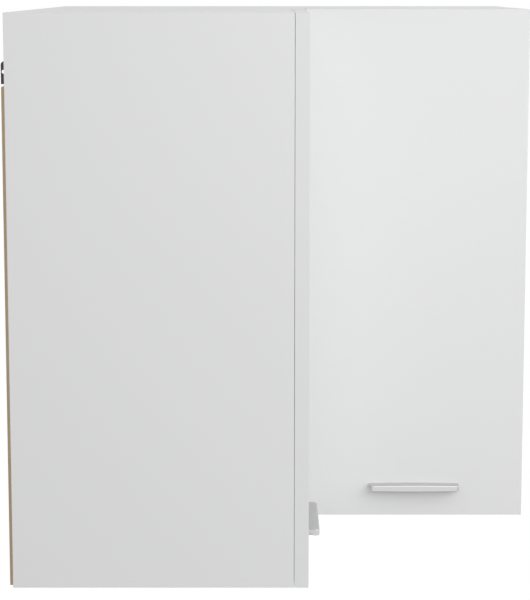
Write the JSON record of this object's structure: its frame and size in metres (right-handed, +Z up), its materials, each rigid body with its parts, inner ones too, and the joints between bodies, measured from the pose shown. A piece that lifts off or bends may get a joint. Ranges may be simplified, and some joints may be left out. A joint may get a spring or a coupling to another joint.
{
  "type": "corner wall cabinet",
  "caption": "L-shaped kitchen corner wall cabinet with two flat doors on concealed cup hinges, bar pulls, an inner shelf, hardboard backs and adjustable wall hangers.",
  "frame": {"origin": "where the two back planes meet, at the level of the cabinet's underside", "axes": "+Z up, +X along the right leg away from the corner, -Y along the left leg away from the corner; the right door faces -Y and the left door faces +X"},
  "size_m": [0.5755, 0.5755, 0.6],
  "materials": {
    "white_melamine": "smooth white melamine on particleboard, thin white edge band",
    "hardboard": "brown hardboard, white lacquered on its inner face",
    "raw_post": "white foil",
    "satin_aluminium": "satin anodised, fine lengthwise grain",
    "nickel_steel": "nickel plated, semi bright",
    "dark_steel": "dark grey phosphated steel, dull",
    "zinc_steel": "zinc plated screws and nails",
    "zinc_cast": "bare die-cast cams",
    "white_plastic": "moulded white plastic",
    "beech": "fluted beech dowel",
    "soft_bumper": "soft translucent dot"
  },
  "bodies": {
    "carcass": {"back_panel_left": "hardboard", "back_panel_nails": "zinc_steel", "back_panel_right": "hardboard", "bottom_panel": "white_melamine", "cam_bolts": "zinc_steel", "cam_covers": "white_plastic", "cam_locks": "zinc_cast", "end_panel_left": "white_melamine", "end_panel_right": "white_melamine", "hanger_hook_left": "dark_steel", "hanger_hook_right": "dark_steel", "hanger_housing_left": "white_plastic", "hanger_housing_right": "white_plastic", "hanger_screws": "zinc_steel", "hanging_rail_left": "white_melamine", "hanging_rail_right": "white_melamine", "hinge_arm_left_lower": "nickel_steel", "hinge_arm_left_upper": "nickel_steel", "hinge_arm_pins": "nickel_steel", "hinge_arm_right_lower": "nickel_steel", "hinge_arm_right_upper": "nickel_steel", "hinge_arm_screws": "zinc_steel", "hinge_plate_left_lower": "nickel_steel", "hinge_plate_left_upper": "nickel_steel", "hinge_plate_right_lower": "nickel_steel", "hinge_plate_right_upper": "nickel_steel", "hinge_plate_screws": "zinc_steel", "rear_corner_post": "raw_post", "shelf": "white_melamine", "shelf_pins": "nickel_steel", "top_panel": "white_melamine", "wood_dowels": "beech"},
    "left_outer_links": {"hinge_outer_link_left_lower": "nickel_steel", "hinge_outer_link_left_upper": "nickel_steel"},
    "left_inner_links": {"hinge_inner_link_left_lower": "nickel_steel", "hinge_inner_link_left_upper": "nickel_steel"},
    "left_door": {"door_bumpers_left": "soft_bumper", "door_left": "white_melamine", "handle_left": "satin_aluminium", "handle_screws_left": "zinc_steel", "hinge_cup_left_lower": "nickel_steel", "hinge_cup_left_upper": "nickel_steel", "hinge_cup_pins_left": "nickel_steel", "hinge_cup_screws_left": "zinc_steel"},
    "right_outer_links": {"hinge_outer_link_right_lower": "nickel_steel", "hinge_outer_link_right_upper": "nickel_steel"},
    "right_inner_links": {"hinge_inner_link_right_lower": "nickel_steel", "hinge_inner_link_right_upper": "nickel_steel"},
    "right_door": {"door_bumpers_right": "soft_bumper", "door_right": "white_melamine", "handle_right": "satin_aluminium", "handle_screws_right": "zinc_steel", "hinge_cup_pins_right": "nickel_steel", "hinge_cup_right_lower": "nickel_steel", "hinge_cup_right_upper": "nickel_steel", "hinge_cup_screws_right": "zinc_steel"}
  },
  "joints": [
    {"name": "left_outer_link_swing", "type": "hinge", "parent": "carcass", "child": "left_outer_links", "pos_m": [0.29363, -0.538, 0.3], "axis": [0, 0, 1], "range_deg": [0, 37.7]},
    {"name": "left_door_swing", "type": "hinge", "parent": "left_outer_links", "child": "left_door", "pos_m": [0.3016, -0.56134, 0.3], "axis": [0, 0, -1], "range_deg": [-0.2, 132.9]},
    {"name": "left_inner_link_swing", "type": "hinge", "parent": "left_door", "child": "left_inner_links", "pos_m": [0.30567, -0.56029, 0.3], "axis": [0, 0, -1], "range_deg": [-135.9, 0.2]},
    {"name": "right_outer_link_swing", "type": "hinge", "parent": "carcass", "child": "right_outer_links", "pos_m": [0.538, -0.29363, 0.3], "axis": [0, 0, -1], "range_deg": [0, 37.7]},
    {"name": "right_door_swing", "type": "hinge", "parent": "right_outer_links", "child": "right_door", "pos_m": [0.56134, -0.3016, 0.3], "axis": [0, 0, 1], "range_deg": [-0.2, 132.9]},
    {"name": "right_inner_link_swing", "type": "hinge", "parent": "right_door", "child": "right_inner_links", "pos_m": [0.56029, -0.30567, 0.3], "axis": [0, 0, 1], "range_deg": [-135.9, 0.2]}
  ],
  "couplings": [
    {"joint": "left_door_swing", "follows": "left_outer_link_swing", "ratio": 3.5199},
    {"joint": "left_inner_link_swing", "follows": "left_outer_link_swing", "ratio": -3.5995},
    {"joint": "right_door_swing", "follows": "right_outer_link_swing", "ratio": 3.5199},
    {"joint": "right_inner_link_swing", "follows": "right_outer_link_swing", "ratio": -3.5995}
  ]
}
